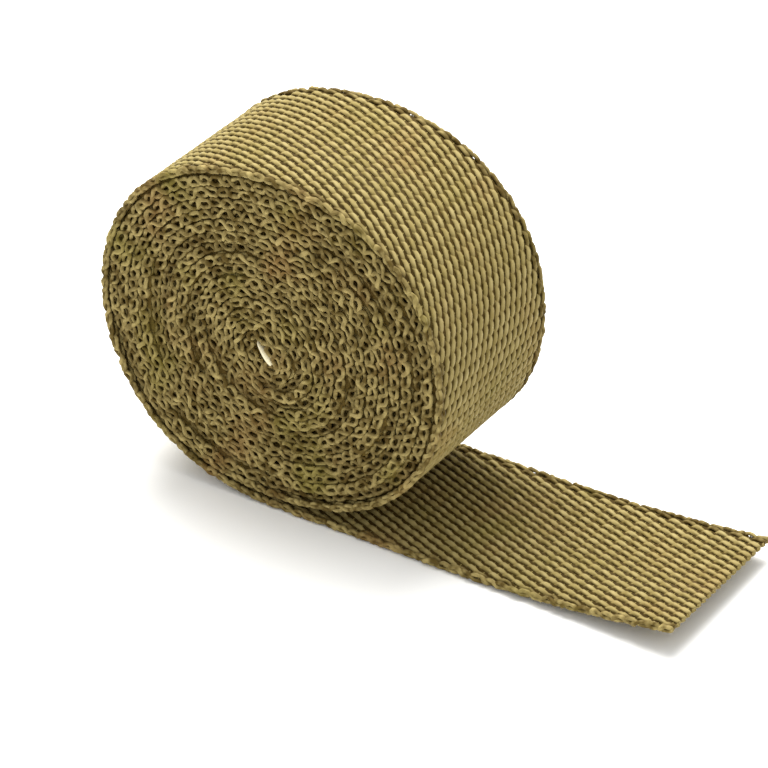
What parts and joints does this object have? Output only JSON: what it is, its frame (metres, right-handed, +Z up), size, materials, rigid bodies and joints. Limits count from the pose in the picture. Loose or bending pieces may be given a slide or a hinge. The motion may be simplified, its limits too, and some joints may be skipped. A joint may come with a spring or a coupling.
{
  "type": "exhaust heat wrap",
  "caption": "Thick plain-woven heat wrap tape wound on itself into a coreless roll, with its free end run out flat on the floor and its cut edge curling up.",
  "frame": {"origin": "on the floor, midway along the whole length of roll and tail and midway across the tape", "axes": "+X along the tail away from the roll, +Y along the roll's axis away from the end that the picture shows, +Z up"},
  "size_m": [0.17, 0.05, 0.0975],
  "materials": {
    "tape": "golden olive woven fibre yarn, matt with a faint sheen"
  },
  "bodies": {
    "root": {"heat_wrap": "tape"}
  },
  "joints": []
}
